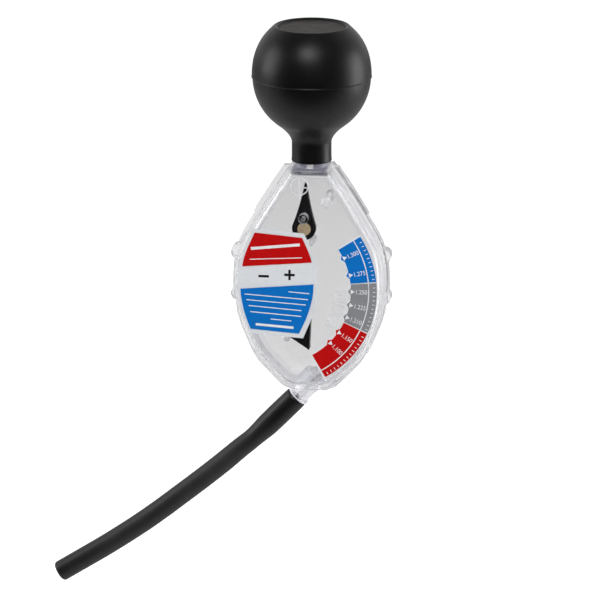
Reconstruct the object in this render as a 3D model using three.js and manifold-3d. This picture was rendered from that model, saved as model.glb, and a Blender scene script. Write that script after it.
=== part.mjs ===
// Battery hydrometer: a rubber squeeze bulb on a flat clear housing, with a float that swings
// along a specific gravity scale, a plumb pointer behind a sight ring, and a drip hose.
//
// Millimetres. Every piece is drawn in the face frame, as the dial is looked at: x to the right,
// y up the long axis, z out of the dial. The last group turns that frame upright, so that the
// long axis is +Z and the dial faces -Y. The origin is the centre of the bulb.

import * as THREE from 'three';
import { mergeVertices } from 'three/addons/utils/BufferGeometryUtils.js';
import Module from 'manifold-3d';

const wasm = await Module();
wasm.setup();

const DEG = Math.PI / 180;

// Clearances: between pieces that sit together, between a pin and its hole, and past a cut.
const SEAT_GAP = 0.3;
const PIN_GAP = 0.2;
const CUT_OVERRUN = 1.0;
const WELD = 0.001;

// Squeeze bulb, a thin rubber ball whose crown is a sunken disc inside a rolled rim. Its dome is
// fuller than round: the fullness is the power in the formula of ballPoints, and 2 is an ellipse.
const BULB_R = 26.75;
const BULB_RISE = 27.6;
const BULB_FALL = 27.0;
const BULB_WALL = 2.0;
const DOME_FULLNESS = 2.2;
const BOWL_FULLNESS = 2;
const SEAM_STEP = 0.3;
const CROWN_R = 15.0;
const CROWN_THICK = 2.0;
const CROWN_SINK = 1.1;
const RIM_ROLL_R = 1.0;
const NECK_R = 8.9;
const NECK_END = 38.8;
const NECK_TOP = 30.4;
const NECK_FLARE = 0.15;
const NECK_ROOT_R = 15.3;
const NECK_BOTTOM_ROUND = 0.6;

// Clear housing, two dished shells welded along their middle.
const HOUSE_TOP = 41.0;
const HOUSE_HEIGHT = 102.4;
const HOUSE_HALF_W = 33.7;
const HOUSE_HALF_DEPTH = 9.75;
const HOUSE_WALL = 2.0;
const HOUSE_EDGE_R = 1.4;
const CHAMBER_EDGE_R = 2.5;
// Half widths as shares of the largest one, against depths below the top as shares of the height.
const OUTLINE_SHARES = [
  [0.28, 0],
  [0.445, 0.079],
  [0.617, 0.169],
  [0.762, 0.248],
  [0.896, 0.327],
  [0.974, 0.406],
  [1, 0.485],
  [0.998, 0.565],
  [0.963, 0.663],
  [0.87, 0.75],
  [0.72, 0.855],
  [0.5, 0.935],
  [0.345, 0.984],
  [0.22, 0.998],
  [0, 1],
];

// Weld flange, broad at the shoulders, stepped in below them and again at the lower of the two grip
// lugs that it has on each side.
const SHOULDER_GROW = 2.4;
const FLANGE_GROW = 1.6;
const LOW_FLANGE_GROW = 0.7;
const FLANGE_HALF_DEPTH = 2.0;
const FLANGE_EDGE_R = 0.3;
const SHOULDER_BOTTOM = 62.5;
const FLANGE_BOTTOM = 127.0;
const LUG_R = 3.3;
const LUG_HALF_DEPTH = 3.6;
const LUG_X = 32.9;
const LUG_HEIGHTS = [81.5, 100.6];

// Spigot that carries the bulb's neck, half of it on each shell.
const SPIGOT_R = 7.45;
const SPIGOT_BORE_R = 5.4;
const SPIGOT_TOP = 31.0;

// Nozzle, glued into a slanted socket at the bottom, and the hose pushed over it.
const NOZZLE_ANGLE = 44 * DEG;
const NOZZLE_X = -1.2;
const NOZZLE_BORE_R = 1.7;
const NOZZLE_ROOT_R = 4.5;
const NOZZLE_ROOT_LENGTH = 8.0;
const NOZZLE_NECK_LENGTH = 6.0;
const COLLAR_R = 5.4;
const COLLAR_THICK = 1.3;
const TAIL_R = 2.4;
const TAIL_LENGTH = 19.0;
const BARB_R = 2.8;
const BARB_PITCH = 4.5;
const BARB_COUNT = 3;
const SOCKET_WALL = 1.9;
const SOCKET_LENGTH = 6.0;
const HOSE_R = 4.75;
const HOSE_BORE_R = 3.1;
const HOSE_SIDES = 12;
const HOSE_STEPS = 9;
// The hose's set route in the middle plane, as it hangs in the photograph, from the collar down.
const HOSE_ROUTE = [
  [-6.61, -148.99],
  [-9.7, -152.18],
  [-14.04, -156.66],
  [-18.38, -161.14],
  [-22.3, -165.1],
  [-27.3, -169.9],
  [-32.6, -174.4],
  [-40.9, -181.8],
  [-49.9, -189.4],
  [-58.9, -196.7],
  [-67.8, -203.9],
  [-76.9, -210.9],
  [-86.3, -217.6],
  [-95.9, -224.1],
  [-105.6, -230.3],
  [-116.45, -237.2],
];

// Float that swings on an axle behind the label, with its beak along the scale.
const PIVOT_X = -15.9;
const PIVOT_Y = -96.2;
const FLOAT_R = 14.0;
const FLOAT_THICK = 5.0;
const FLOAT_FRONT = 3.5;
const FLOAT_EDGE = 0.3;
const BEAK_R = 33.3;
const BEAK_HALF_ANGLE = 30 * DEG;
const BEAK_LENGTH = 19.4;
const BEAK_TIP_R = 1.0;
const FLOAT_REST_ANGLE = -62.8 * DEG;
const AXLE_R = 1.0;
const BALLAST_R = 2.2;
const BALLAST_THICK = 3.2;
const BALLAST_REACH = 8.5;

// Plumb pointer that hangs on its own pin and carries a brass weight.
const PLUMB_X = -2.78;
const PLUMB_Y = -64.2;
const PLUMB_LEAN = -2.2 * DEG;
const PLUMB_THICK = 3.0;
const PLUMB_FRONT = 3.5;
const PLUMB_TIP = 15.75;
const PLUMB_TIP_HALF = 0.35;
const BLOB_R = 5.35;
const BLOB_DROP = 5.3;
const PLUMB_WAIST_SHARE = 0.42;
const WEIGHT_R = 3.0;
const WEIGHT_THICK = 2.2;
const WEIGHT_DROP = 5.55;
const WEIGHT_OFFSET = 0.15;
const PIN_R = 0.75;

// Moulded details of the shells: bosses, stops, a locating post, and the sight ring and hairline.
const AXLE_BOSS_R = 2.9;
const PIN_BOSS_R = 2.2;
const BOSS_FLOOR = 0.4;
const STOP_R = 1.3;
const STOP_REACH = 25.5;
const FLOAT_SWING = 98 * DEG;
const POST_R = 2.4;
const POST_X = 7.8;
const POST_Y = -56.0;
const SIGHT_X = -4.1;
const SIGHT_Y = -48.6;
const SIGHT_R = 4.15;
const SIGHT_LINE_W = 0.5;
const SIGHT_RISE = 0.35;
const HAIRLINE_TOP = 3.4;
const HAIRLINE_LENGTH = 10.3;
const COMB_RIBS = 12;
const COMB_START = -2 * DEG;
const COMB_END = -34 * DEG;
const COMB_INNER_R = 27.5;
const COMB_OUTER_R = 33.0;
const COMB_RIB_W = 0.35;
const COMB_RISE = 0.3;

// Printed foils on the dial: the label card with two panels, and three zones of the scale.
const FOIL_THICK = 0.25;
const LABEL_X = -14.0;
const LABEL_TOP = -69.5;
const LABEL_HEIGHT = 48.6;
const LABEL_HALF_W = 18.1;
const LABEL_SKEW = 0.75;
// Depths below the label's top as shares of its height, against half widths as shares of its own.
const LABEL_SIDE_SHARES = [
  [0, 0.64],
  [0.26, 0.93],
  [0.49, 1],
  [0.69, 0.95],
  [0.88, 0.79],
  [1, 0.64],
];
const LABEL_SIDE_STEPS = 14;
const PANEL_MARGIN = 1.7;
// Each panel's upper and lower edge at the label's middle, and how much each edge climbs across it.
const RED_PANEL = { top: -71.4, topClimb: -1.7, bottom: -84.9, bottomClimb: 2.9 };
const BLUE_PANEL = { top: -95.4, topClimb: 3.6, bottom: -116.0, bottomClimb: -1.6 };
const SCALE_R = 46.7;
const SCALE_INNER_R = 35.0;
const TOOTH_TIP_R = 33.7;
const TOOTH_HALF_W = 1.7;
const ZONE_GAP = 0.6;
const ARC_STEP = 2.6;
const FOIL_WHITE = 0xdfe1e2;
const FOIL_RED = 0xbe0808;
const FOIL_BLUE = 0x0f6fc4;
const FOIL_GREY = 0x808288;
// Each zone's limits and the readings that have a tooth, in degrees round the float's axle.
const ZONES = [
  { name: 'scale_zone_blue', color: FOIL_BLUE, from: 5.5, to: 33.3, teeth: [25.5, 12.1] },
  { name: 'scale_zone_grey', color: FOIL_GREY, from: -24.4, to: 5.5, teeth: [-0.3, -10.5, -20.1] },
  { name: 'scale_zone_red', color: FOIL_RED, from: -60.2, to: -24.4, teeth: [-33.1, -43.3] },
];

const OUTLINE_STEPS = 62;
const EDGE_STEPS = 3;
const ROUND_SIDES = 24;
const LATHE_SIDES = 32;

const rubber = new THREE.MeshStandardMaterial({ color: 0x171717, roughness: 0.55, metalness: 0 });
const crownRubber = new THREE.MeshStandardMaterial({ color: 0x2c2927, roughness: 0.7, metalness: 0 });
const hoseRubber = new THREE.MeshStandardMaterial({ color: 0x1d1d1d, roughness: 0.6, metalness: 0 });
const clearPlastic = new THREE.MeshStandardMaterial({
  color: 0xe6e6ec, roughness: 0.08, metalness: 0, transparent: true, opacity: 0.3,
});
const blackPlastic = new THREE.MeshStandardMaterial({ color: 0x0e0e0f, roughness: 0.4, metalness: 0 });
const brass = new THREE.MeshStandardMaterial({ color: 0xb08d4f, roughness: 0.35, metalness: 1 });
const steel = new THREE.MeshStandardMaterial({ color: 0xb9bbbe, roughness: 0.3, metalness: 1 });

// Printed foil of a colour.
function foil(color) {
  return new THREE.MeshStandardMaterial({ color, roughness: 0.45, metalness: 0 });
}

// A closed geometry as a solid that can be joined and cut.
function toSolid(geometry) {
  const bare = geometry.clone();
  bare.deleteAttribute('normal');
  bare.deleteAttribute('uv');
  const welded = mergeVertices(bare);
  return new wasm.Manifold(new wasm.Mesh({
    numProp: 3,
    vertProperties: new Float32Array(welded.attributes.position.array),
    triVerts: new Uint32Array(welded.index.array),
  }));
}

// The geometry of a solid, with flat shading.
function toGeometry(solid) {
  const mesh = solid.getMesh();
  const shared = new THREE.BufferGeometry();
  shared.setAttribute('position', new THREE.BufferAttribute(mesh.vertProperties, 3));
  shared.setIndex(new THREE.BufferAttribute(mesh.triVerts, 1));
  const flat = shared.toNonIndexed();
  flat.computeVertexNormals();
  return flat;
}

// A round bar along z, from one depth to another.
function barAlongZ(radius, x, y, from, to, sides = ROUND_SIDES) {
  const bar = new THREE.CylinderGeometry(radius, radius, to - from, sides);
  bar.rotateX(Math.PI / 2);
  bar.translate(x, y, (from + to) / 2);
  return bar;
}

// A round bar along y, from one height to another.
function barAlongY(radius, from, to, sides = LATHE_SIDES) {
  const bar = new THREE.CylinderGeometry(radius, radius, to - from, sides);
  bar.translate(0, (from + to) / 2, 0);
  return bar;
}

function boxBetween(low, high) {
  const box = new THREE.BoxGeometry(high[0] - low[0], high[1] - low[1], high[2] - low[2]);
  box.translate((low[0] + high[0]) / 2, (low[1] + high[1]) / 2, (low[2] + high[2]) / 2);
  return box;
}

// A flat plate of a shape, between two depths, with its edges rounded if edge is given.
function plate(shape, from, to, edge = 0) {
  const body = new THREE.ExtrudeGeometry(shape, {
    depth: to - from - 2 * edge,
    bevelEnabled: edge > 0,
    bevelSize: edge,
    bevelThickness: edge,
    bevelOffset: -edge,
    bevelSegments: EDGE_STEPS,
    curveSegments: ROUND_SIDES,
    steps: 1,
  });
  body.translate(0, 0, from + edge);
  return body;
}

// Points on an arc round a centre, both ends included.
function arcPoints(x, y, radius, from, to, steps) {
  const points = [];
  for (let i = 0; i <= steps; i += 1) {
    const angle = from + ((to - from) * i) / steps;
    points.push(new THREE.Vector2(x + radius * Math.cos(angle), y + radius * Math.sin(angle)));
  }
  return points;
}

// A closed shape from runs of points, without the repeated points where one run meets the next.
function closedShape(...runs) {
  const points = runs.flat().filter((point, i, all) => (
    point.distanceTo(all[(i + all.length - 1) % all.length]) > WELD
  ));
  return new THREE.Shape(points);
}

function bend(start, control, end, steps) {
  return new THREE.QuadraticBezierCurve(start, control, end).getPoints(steps);
}

// A bend that leaves one point at an angle and arrives at another at an angle.
function fillet(start, leaving, end, arriving, steps) {
  const leave = new THREE.Vector2(Math.cos(leaving), Math.sin(leaving));
  const arrive = new THREE.Vector2(Math.cos(arriving), Math.sin(arriving));
  const across = end.clone().sub(start);
  const reach = across.cross(arrive) / leave.cross(arrive);
  return bend(start, start.clone().addScaledVector(leave, reach), end, steps);
}

// How far a quarter of the ball's outline has risen at a half width x:
// (x / halfW) ** fullness + (height / rise) ** fullness = 1.
function ballHeight(x, halfW, rise, fullness) {
  return rise * (1 - (x / halfW) ** fullness) ** (1 / fullness);
}

// Points along that quarter, from one half width to another.
function ballPoints(halfW, rise, fullness, from, to, steps) {
  const start = Math.acos((from / halfW) ** (fullness / 2));
  const end = Math.acos((to / halfW) ** (fullness / 2));
  return arcPoints(0, 0, 1, start, end, steps).map(({ x, y }) => (
    new THREE.Vector2(halfW * x ** (2 / fullness), rise * Math.max(0, y) ** (2 / fullness))
  ));
}

// The angle at which a run of points sets off, or ends.
function heading(points, last = false) {
  const i = last ? points.length - 1 : 1;
  return points[i].clone().sub(points[i - 1]).angle();
}

// The bulb's outline rises to the rim's crest, and the crown lies below that.
function rimCrest() {
  return ballHeight(CROWN_R + SEAT_GAP + RIM_ROLL_R, BULB_R, BULB_RISE, DOME_FULLNESS);
}

// Squeeze bulb, revolved round the long axis.
function squeezeBulb() {
  const opening = CROWN_R + SEAT_GAP;
  const bore = SPIGOT_R + SEAT_GAP;
  const innerR = BULB_R - BULB_WALL;
  const lowerR = BULB_R - SEAM_STEP;
  const innerRootR = NECK_ROOT_R - BULB_WALL;
  const rollEnd = Math.PI / 3;
  const rollY = rimCrest() - RIM_ROLL_R;
  const shoulderR = opening + 3 * RIM_ROLL_R;
  const rim = arcPoints(opening + RIM_ROLL_R, rollY, RIM_ROLL_R, Math.PI, rollEnd, 4);
  const upper = ballPoints(BULB_R, BULB_RISE, DOME_FULLNESS, shoulderR, BULB_R, 9);
  const lower = ballPoints(lowerR, -BULB_FALL, BOWL_FULLNESS, lowerR, NECK_ROOT_R, 8);
  const innerFall = BULB_FALL - BULB_WALL;
  const innerRise = BULB_RISE - BULB_WALL;
  const innerBowl = ballPoints(innerR, -innerFall, BOWL_FULLNESS, innerRootR, innerR, 7);
  const innerDome = ballPoints(innerR, innerRise, DOME_FULLNESS, innerR, opening, 6);
  const neckTop = new THREE.Vector2(NECK_R, -NECK_TOP);
  const boreTop = new THREE.Vector2(bore, -NECK_TOP);
  const profile = [
    ...rim,
    ...fillet(rim[rim.length - 1], rollEnd - Math.PI / 2, upper[0], heading(upper), 3).slice(1),
    ...upper.slice(1),
    ...lower,
    ...fillet(lower[lower.length - 1], heading(lower, true), neckTop, -Math.PI / 2, 5).slice(1),
    new THREE.Vector2(NECK_R, -NECK_END + 2 * NECK_BOTTOM_ROUND),
    new THREE.Vector2(NECK_R + NECK_FLARE, -NECK_END + NECK_BOTTOM_ROUND),
    new THREE.Vector2(NECK_R + NECK_FLARE - NECK_BOTTOM_ROUND, -NECK_END),
    new THREE.Vector2(bore, -NECK_END),
    ...fillet(boreTop, Math.PI / 2, innerBowl[0], heading(innerBowl), 4),
    ...innerBowl.slice(1),
    ...innerDome.slice(1),
    rim[0].clone(),
  ].reverse();
  return new THREE.LatheGeometry(profile, LATHE_SIDES);
}

// Crown of the bulb, the disc under the thumb.
function bulbCrown() {
  const top = rimCrest() - CROWN_SINK;
  return barAlongY(CROWN_R, top - CROWN_THICK, top);
}

// The housing's outline as the dial is looked at, drawn in by a distance, or out if it is negative.
function housingOutline(inset) {
  const right = OUTLINE_SHARES.map(([width, depth]) => (
    new THREE.Vector2(width * HOUSE_HALF_W, -HOUSE_TOP - depth * HOUSE_HEIGHT)
  ));
  const left = right.slice(0, -1).reverse().map((point) => new THREE.Vector2(-point.x, point.y));
  const points = new THREE.SplineCurve([...right, ...left]).getSpacedPoints(OUTLINE_STEPS);
  return points.map((point, i) => {
    const before = points[(i + points.length - 1) % points.length];
    const after = points[(i + 1) % points.length];
    const arrive = point.clone().sub(before).normalize();
    const leave = after.clone().sub(point).normalize();
    const inward = new THREE.Vector2(arrive.y + leave.y, -arrive.x - leave.x).normalize();
    const reach = inset / Math.abs(inward.dot(new THREE.Vector2(leave.y, -leave.x)));
    return point.clone().addScaledVector(inward, reach);
  });
}

// The housing's outline as a block with rounded edges.
function housingBlock(inset, halfDepth, edge) {
  return toSolid(plate(new THREE.Shape(housingOutline(inset)), -halfDepth, halfDepth, edge));
}

// A bar along the nozzle's axis, between two distances out from the bottom of the housing.
function barAlongNozzle(radius, from, to) {
  const bar = new THREE.CylinderGeometry(radius, radius, to - from, ROUND_SIDES);
  bar.translate(0, -(from + to) / 2, 0);
  bar.rotateZ(-NOZZLE_ANGLE);
  bar.translate(NOZZLE_X, -HOUSE_TOP - HOUSE_HEIGHT, 0);
  return bar;
}

// A stretch of the weld flange that stands out from the block, between two heights.
function flange(grow, top, bottom) {
  const wide = HOUSE_HALF_W + LUG_R;
  const band = boxBetween([-wide, -bottom, -HOUSE_HALF_DEPTH], [wide, -top, HOUSE_HALF_DEPTH]);
  return housingBlock(-grow, FLANGE_HALF_DEPTH, FLANGE_EDGE_R).intersect(toSolid(band));
}

// The hollow housing as one solid, before it is parted into two shells.
function hollowHousing() {
  const block = housingBlock(0, HOUSE_HALF_DEPTH, HOUSE_EDGE_R);
  const chamber = housingBlock(HOUSE_WALL, HOUSE_HALF_DEPTH - HOUSE_WALL, CHAMBER_EDGE_R);
  let body = block
    .add(flange(SHOULDER_GROW, HOUSE_TOP, SHOULDER_BOTTOM))
    .add(flange(FLANGE_GROW, HOUSE_TOP, LUG_HEIGHTS[1]))
    .add(flange(LOW_FLANGE_GROW, HOUSE_TOP, FLANGE_BOTTOM));
  for (const height of LUG_HEIGHTS) {
    for (const side of [-1, 1]) {
      const lug = barAlongZ(LUG_R, side * LUG_X, -height, -LUG_HALF_DEPTH, LUG_HALF_DEPTH, 18);
      body = body.add(toSolid(lug));
    }
  }
  const socketR = NOZZLE_ROOT_R + SEAT_GAP + SOCKET_WALL;
  const socket = toSolid(barAlongNozzle(socketR, -SOCKET_LENGTH, CUT_OVERRUN)).intersect(block);
  const spigot = toSolid(barAlongY(SPIGOT_R, -HOUSE_TOP - HOUSE_WALL, -SPIGOT_TOP));
  const spigotBore = toSolid(barAlongY(
    SPIGOT_BORE_R,
    -HOUSE_TOP - HOUSE_WALL - CUT_OVERRUN,
    -SPIGOT_TOP + CUT_OVERRUN,
  ));
  const nozzleHole = toSolid(barAlongNozzle(
    NOZZLE_ROOT_R + SEAT_GAP,
    -NOZZLE_ROOT_LENGTH - SEAT_GAP,
    NOZZLE_ROOT_LENGTH + SOCKET_LENGTH,
  ));
  return body.subtract(chamber).add(socket).add(spigot).subtract(spigotBore).subtract(nozzleHole);
}

// One half of the hollow housing: side 1 is the dial side, side -1 the back.
function halfHousing(side) {
  const wide = HOUSE_HALF_W + LUG_R + CUT_OVERRUN;
  const deep = side * (HOUSE_HALF_DEPTH + CUT_OVERRUN);
  return hollowHousing().intersect(toSolid(boxBetween(
    [-wide, -HOUSE_TOP - HOUSE_HEIGHT - CUT_OVERRUN, Math.min(0, deep)],
    [wide, -SPIGOT_TOP + CUT_OVERRUN, Math.max(0, deep)],
  )));
}

// A boss on a shell's inner face with a blind hole for a pin, reaching from the wall to a depth.
function pinBoss(side, radius, pinR, x, y, end) {
  const wall = side * (HOUSE_HALF_DEPTH - HOUSE_WALL / 2);
  const floor = side * (HOUSE_HALF_DEPTH - HOUSE_WALL + BOSS_FLOOR);
  const past = end - side * CUT_OVERRUN;
  const boss = toSolid(barAlongZ(radius, x, y, Math.min(wall, end), Math.max(wall, end)));
  const hole = barAlongZ(pinR + PIN_GAP, x, y, Math.min(floor, past), Math.max(floor, past));
  return { boss, hole: toSolid(hole) };
}

// Adds the two pins' bosses to a shell.
function withBosses(shell, side) {
  const floatEnd = side > 0 ? FLOAT_FRONT + SEAT_GAP : FLOAT_FRONT - FLOAT_THICK - SEAT_GAP;
  const plumbEnd = side > 0 ? PLUMB_FRONT + SEAT_GAP : PLUMB_FRONT - PLUMB_THICK - SEAT_GAP;
  const axle = pinBoss(side, AXLE_BOSS_R, AXLE_R, PIVOT_X, PIVOT_Y, floatEnd);
  const pin = pinBoss(side, PIN_BOSS_R, PIN_R, PLUMB_X, PLUMB_Y, plumbEnd);
  return shell.add(axle.boss).add(pin.boss).subtract(axle.hole).subtract(pin.hole);
}

// Angle between the beak's middle line and a stop peg that just clears the beak's flank.
function stopSpread() {
  const flankDistance = BEAK_R * Math.sin(BEAK_HALF_ANGLE) + STOP_R + SEAT_GAP;
  return Math.PI / 2 - BEAK_HALF_ANGLE - Math.acos(flankDistance / STOP_REACH);
}

// Dial side of the housing, with the sight ring and hairline on its face and a comb inside it.
function frontShell() {
  let shell = withBosses(halfHousing(1), 1);
  const face = HOUSE_HALF_DEPTH - HOUSE_WALL / 2;
  const top = HOUSE_HALF_DEPTH + SIGHT_RISE;
  const ring = new THREE.Shape(arcPoints(SIGHT_X, SIGHT_Y, SIGHT_R, 0, 2 * Math.PI, 28).slice(1));
  ring.holes.push(new THREE.Path(
    arcPoints(SIGHT_X, SIGHT_Y, SIGHT_R - SIGHT_LINE_W, 0, -2 * Math.PI, 28).slice(1),
  ));
  shell = shell.add(toSolid(plate(ring, face, top)));
  const lineTop = SIGHT_Y + HAIRLINE_TOP;
  shell = shell.add(toSolid(boxBetween(
    [SIGHT_X - SIGHT_LINE_W / 2, lineTop - HAIRLINE_LENGTH, face],
    [SIGHT_X + SIGHT_LINE_W / 2, lineTop, top],
  )));
  const inside = HOUSE_HALF_DEPTH - HOUSE_WALL;
  for (let i = 0; i < COMB_RIBS; i += 1) {
    const rib = boxBetween(
      [COMB_INNER_R, -COMB_RIB_W / 2, inside - COMB_RISE],
      [COMB_OUTER_R, COMB_RIB_W / 2, inside + HOUSE_WALL / 2],
    );
    rib.rotateZ(COMB_START + ((COMB_END - COMB_START) * i) / (COMB_RIBS - 1));
    rib.translate(PIVOT_X, PIVOT_Y, 0);
    shell = shell.add(toSolid(rib));
  }
  const post = barAlongZ(POST_R, POST_X, POST_Y, SEAT_GAP, face);
  return toGeometry(shell.add(toSolid(post)));
}

// Back of the housing, with the two pegs that stop the float and the post that meets the front's.
function backShell() {
  let shell = withBosses(halfHousing(-1), -1);
  const wall = -HOUSE_HALF_DEPTH + HOUSE_WALL / 2;
  const spread = stopSpread();
  const lowStop = FLOAT_REST_ANGLE - spread;
  const highStop = FLOAT_REST_ANGLE + FLOAT_SWING + spread;
  for (const angle of [lowStop, highStop]) {
    const x = PIVOT_X + STOP_REACH * Math.cos(angle);
    const y = PIVOT_Y + STOP_REACH * Math.sin(angle);
    shell = shell.add(toSolid(barAlongZ(STOP_R, x, y, wall, FLOAT_FRONT - FLOAT_EDGE)));
  }
  const post = barAlongZ(POST_R, POST_X, POST_Y, wall, 0);
  return toGeometry(shell.add(toSolid(post)));
}

// Nozzle with its collar and the barbed tail that the hose is pushed over, drawn along -y.
function hoseNozzle() {
  const tailStart = NOZZLE_NECK_LENGTH + COLLAR_THICK;
  const tailEnd = tailStart + TAIL_LENGTH;
  const barbs = [];
  for (let i = BARB_COUNT - 1; i >= 0; i -= 1) {
    const barbY = -tailEnd + i * BARB_PITCH;
    barbs.push(new THREE.Vector2(TAIL_R, barbY + BARB_PITCH / 2));
    barbs.push(new THREE.Vector2(BARB_R, barbY + BARB_PITCH / 2));
    barbs.push(new THREE.Vector2(TAIL_R, barbY));
  }
  const profile = [
    new THREE.Vector2(NOZZLE_BORE_R, NOZZLE_ROOT_LENGTH),
    new THREE.Vector2(NOZZLE_ROOT_R, NOZZLE_ROOT_LENGTH),
    new THREE.Vector2(NOZZLE_ROOT_R, -NOZZLE_NECK_LENGTH),
    new THREE.Vector2(COLLAR_R, -NOZZLE_NECK_LENGTH),
    new THREE.Vector2(COLLAR_R, -tailStart),
    new THREE.Vector2(TAIL_R, -tailStart),
    ...barbs,
    new THREE.Vector2(NOZZLE_BORE_R, -tailEnd),
    new THREE.Vector2(NOZZLE_BORE_R, NOZZLE_ROOT_LENGTH),
  ].reverse();
  return new THREE.LatheGeometry(profile, ROUND_SIDES);
}

// Drip hose along its set route, open from end to end.
function hose() {
  const route = new THREE.CatmullRomCurve3(
    HOSE_ROUTE.map(([x, y]) => new THREE.Vector3(x, y, 0)),
    false,
    'centripetal',
  );
  const ring = (radius) => arcPoints(0, 0, radius, 0, 2 * Math.PI, HOSE_SIDES).slice(1);
  const section = new THREE.Shape(ring(HOSE_R));
  section.holes.push(new THREE.Path(ring(HOSE_BORE_R).reverse()));
  return new THREE.ExtrudeGeometry(section, { steps: HOSE_STEPS, extrudePath: route });
}

// Float with its beak along +x from the axle, a bore for the axle and a pocket for the ballast.
function floatPointer() {
  const flankX = BEAK_R - BEAK_LENGTH * Math.cos(BEAK_HALF_ANGLE);
  const flankY = BEAK_LENGTH * Math.sin(BEAK_HALF_ANGLE);
  const joinAngle = 65 * DEG;
  const joinY = FLOAT_R * Math.sin(joinAngle);
  const bendX = flankX - (joinY - flankY) / Math.tan(BEAK_HALF_ANGLE);
  const tip = new THREE.Vector2(BEAK_R - BEAK_TIP_R, BEAK_TIP_R * Math.tan(BEAK_HALF_ANGLE));
  const join = new THREE.Vector2(FLOAT_R * Math.cos(joinAngle), joinY);
  const flip = (point) => new THREE.Vector2(point.x, -point.y);
  const upper = [
    ...bend(new THREE.Vector2(BEAK_R, 0), new THREE.Vector2(BEAK_R, tip.y), tip, 2),
    ...bend(new THREE.Vector2(flankX, flankY), new THREE.Vector2(bendX, joinY), join, 5),
  ];
  const outline = closedShape(
    upper,
    arcPoints(0, 0, FLOAT_R, joinAngle, 2 * Math.PI - joinAngle, ROUND_SIDES),
    upper.map(flip).reverse(),
  );
  const back = FLOAT_FRONT - FLOAT_THICK;
  const body = toSolid(plate(outline, back, FLOAT_FRONT, FLOAT_EDGE));
  const bore = barAlongZ(AXLE_R + PIN_GAP, 0, 0, back - CUT_OVERRUN, FLOAT_FRONT + CUT_OVERRUN);
  const pocketEnd = back + BALLAST_THICK + SEAT_GAP;
  const pocket = barAlongZ(BALLAST_R + SEAT_GAP, BALLAST_REACH, 0, back - CUT_OVERRUN, pocketEnd);
  return toGeometry(body.subtract(toSolid(bore)).subtract(toSolid(pocket)));
}

// Brass slug in the float's pocket.
function floatBallast() {
  const back = FLOAT_FRONT - FLOAT_THICK;
  return barAlongZ(BALLAST_R, BALLAST_REACH, 0, back, back + BALLAST_THICK);
}

// Plumb pointer round its own pin: a needle above, a round blob below.
function levelPendulum() {
  const joinAngle = 14 * DEG;
  const joinX = BLOB_R * Math.cos(joinAngle);
  const joinY = -BLOB_DROP + BLOB_R * Math.sin(joinAngle);
  const waistX = joinX * PLUMB_WAIST_SHARE;
  const waistY = joinY + (PLUMB_TIP - joinY) * PLUMB_WAIST_SHARE;
  const side = (sign) => bend(
    new THREE.Vector2(sign * joinX, joinY),
    new THREE.Vector2(sign * waistX, waistY),
    new THREE.Vector2(sign * PLUMB_TIP_HALF, PLUMB_TIP),
    6,
  );
  const outline = closedShape(
    side(1),
    side(-1).reverse(),
    arcPoints(0, -BLOB_DROP, BLOB_R, Math.PI - joinAngle, 2 * Math.PI + joinAngle, ROUND_SIDES),
  );
  const back = PLUMB_FRONT - PLUMB_THICK;
  const body = toSolid(plate(outline, back, PLUMB_FRONT));
  const bore = barAlongZ(PIN_R + PIN_GAP, 0, 0, back - CUT_OVERRUN, PLUMB_FRONT + CUT_OVERRUN);
  const pocketEnd = PLUMB_FRONT - WEIGHT_THICK - SEAT_GAP;
  const pocket = barAlongZ(
    WEIGHT_R + SEAT_GAP, WEIGHT_OFFSET, -WEIGHT_DROP, pocketEnd, PLUMB_FRONT + CUT_OVERRUN,
  );
  return toGeometry(body.subtract(toSolid(bore)).subtract(toSolid(pocket)));
}

// Brass weight in the plumb pointer's blob.
function pendulumWeight() {
  return barAlongZ(
    WEIGHT_R, WEIGHT_OFFSET, -WEIGHT_DROP, PLUMB_FRONT - WEIGHT_THICK, PLUMB_FRONT,
  );
}

// A pin that spans the chamber between the floors of its two bosses.
function crossPin(radius, x, y) {
  const end = HOUSE_HALF_DEPTH - HOUSE_WALL + BOSS_FLOOR - SEAT_GAP;
  return barAlongZ(radius, x, y, -end, end);
}

// The label's side at a height, measured from the label's own middle.
const labelSide = new THREE.SplineCurve(LABEL_SIDE_SHARES.map(([depth, width]) => (
  new THREE.Vector2(width * LABEL_HALF_W, LABEL_TOP - depth * LABEL_HEIGHT)
))).getPoints(LABEL_SIDE_STEPS * LABEL_SIDE_SHARES.length);

function labelHalfWidth(y) {
  const below = labelSide.findIndex((point) => point.y <= y);
  if (below === 0) {
    return labelSide[0].x;
  }
  if (below === -1) {
    return labelSide[labelSide.length - 1].x;
  }
  const a = labelSide[below - 1];
  const b = labelSide[below];
  return a.x + ((b.x - a.x) * (y - a.y)) / (b.y - a.y);
}

// A foil that follows the label's sides between two slanted edges.
function labelFoil(edges, margin, back) {
  const half = (y) => labelHalfWidth(y) - margin;
  const side = (sign) => {
    const share = sign / 2;
    const points = [];
    for (let i = 0; i <= LABEL_SIDE_STEPS; i += 1) {
      const top = edges.top + edges.topClimb * share;
      const bottom = edges.bottom + edges.bottomClimb * share;
      const y = top + ((bottom - top) * i) / LABEL_SIDE_STEPS;
      points.push(new THREE.Vector2(LABEL_X + sign * half(y), y));
    }
    return points;
  };
  return plate(closedShape(side(1), side(-1).reverse()), back, back + FOIL_THICK);
}

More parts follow.
